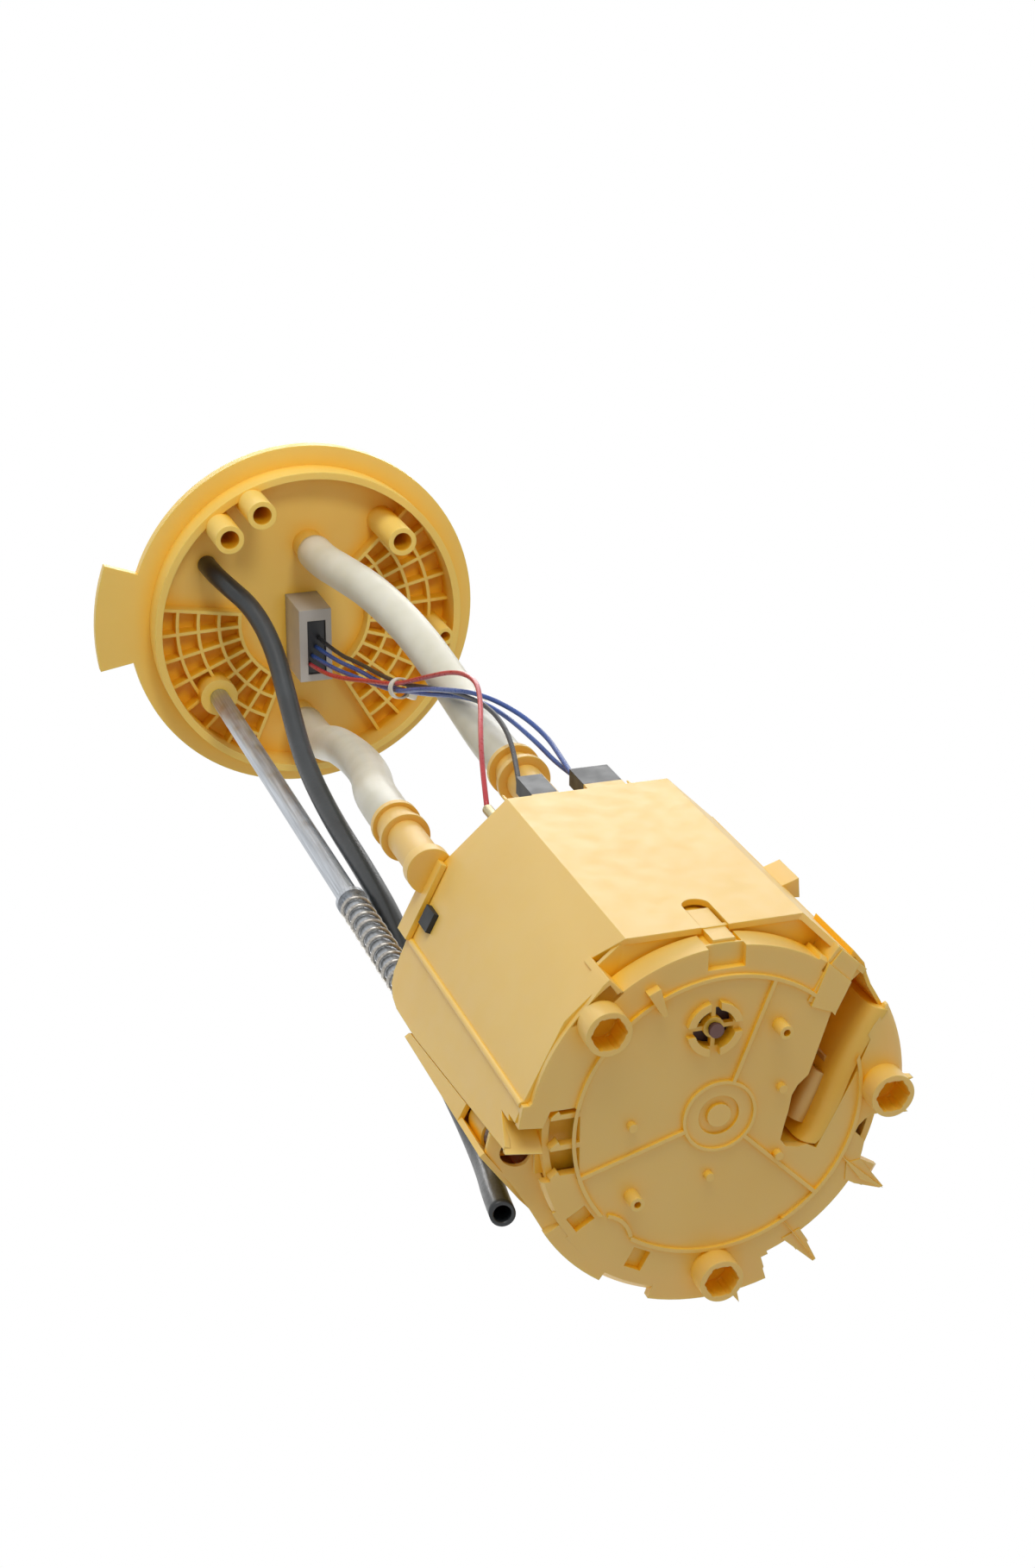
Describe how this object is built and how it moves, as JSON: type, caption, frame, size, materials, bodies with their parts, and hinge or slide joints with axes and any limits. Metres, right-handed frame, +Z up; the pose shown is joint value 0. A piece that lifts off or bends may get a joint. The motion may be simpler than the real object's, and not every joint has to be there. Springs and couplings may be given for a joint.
{
  "type": "fuel pump module",
  "caption": "In-tank fuel pump module: round flange with hose nipples and plug socket, guide rod with coil spring, and a sliding reservoir with pump, hoses, wires and float arm.",
  "frame": {"origin": "centre of the flange's seating face, on the spigot's axis", "axes": "+Z up, out of the tank, along the spigot's axis; the reservoir hangs towards -Z; -Y is towards the side with the two hose fittings"},
  "size_m": [0.1805, 0.164, 0.4555],
  "materials": {
    "flange_nylon": "ageing natural nylon, satin",
    "reservoir_nylon": "yellowed natural moulding, satin",
    "natural_nylon": "milky, slightly translucent",
    "black_polyamide": "satin",
    "grey_plastic": "satin",
    "black_rubber": "matt",
    "ground_steel": "drawn and ground",
    "spring_steel": "bright drawn wire",
    "plated_steel": "zinc plated",
    "tinned_brass": "tinned",
    "magnet_ferrite": "pressed and sintered",
    "rotor_iron": "resin coated",
    "acetal": "moulded",
    "red_insulation": "extruded",
    "black_insulation": "extruded",
    "blue_insulation": "extruded",
    "ceramic": null,
    "float_foam": "closed-cell foam"
  },
  "bodies": {
    "flange": {"flange_plate": "flange_nylon", "connector_housing": "grey_plastic", "wire_plug": "black_polyamide", "contact_pins": "tinned_brass", "guide_rod": "ground_steel", "spring_stop": "ground_steel", "rod_retainer": "ground_steel", "coil_spring": "spring_steel", "supply_hose": "natural_nylon", "return_hose": "natural_nylon", "heater_hose": "black_polyamide", "wire_red": "red_insulation", "wire_black": "black_insulation", "wire_blue": "blue_insulation", "wire_blue_second": "blue_insulation", "cable_tie": "natural_nylon"},
    "reservoir": {"base_plate": "reservoir_nylon", "base_tongue": "reservoir_nylon", "inlet_strainer": "acetal", "jet_pump": "acetal", "lead_terminal": "tinned_brass", "outer_shell": "reservoir_nylon", "pump_can": "plated_steel", "pump_chamber": "black_polyamide", "pump_inlet_cover": "black_polyamide", "pump_lead_plug": "black_polyamide", "pump_magnets": "magnet_ferrite", "pump_outlet_head": "black_polyamide", "pump_sleeve": "black_rubber", "reservoir_cup": "reservoir_nylon", "return_fitting": "natural_nylon", "rubber_catch": "black_rubber", "sender_card": "ceramic", "sender_housing": "reservoir_nylon", "sender_lead_plug": "black_polyamide", "side_rail": "reservoir_nylon", "supply_fitting": "natural_nylon", "top_lid": "reservoir_nylon"},
    "inlet_flap": {"inlet_valve": "black_rubber"},
    "pump_rotor": {"pump_armature": "rotor_iron", "pump_impeller": "acetal"},
    "sender_arm": {"float_arm": "ground_steel", "level_float": "float_foam"}
  },
  "joints": [
    {"name": "reservoir_slide", "type": "slide", "parent": "flange", "child": "reservoir", "axis": [0, 0, 1], "range_m": [0, 0.03], "stiffness_N_per_m": 300, "springref_m": -0.05, "deforming": ["coil_spring", "supply_hose", "return_hose", "heater_hose", "wire_red", "wire_black", "wire_blue", "wire_blue_second", "cable_tie"]},
    {"name": "inlet_flap_slide", "type": "slide", "parent": "reservoir", "child": "inlet_flap", "axis": [0, 0, 1], "range_m": [0, 0.001]},
    {"name": "rotor_spin", "type": "hinge", "parent": "reservoir", "child": "pump_rotor", "pos_m": [0.0081, 0.0336, -0.364], "axis": [0, 0, 1], "continuous": true},
    {"name": "float_arm_swing", "type": "hinge", "parent": "reservoir", "child": "sender_arm", "pos_m": [0.05767, 0.07525, -0.306], "axis": [-0.5736, -0.8192, 0], "range_deg": [0, 95]}
  ]
}
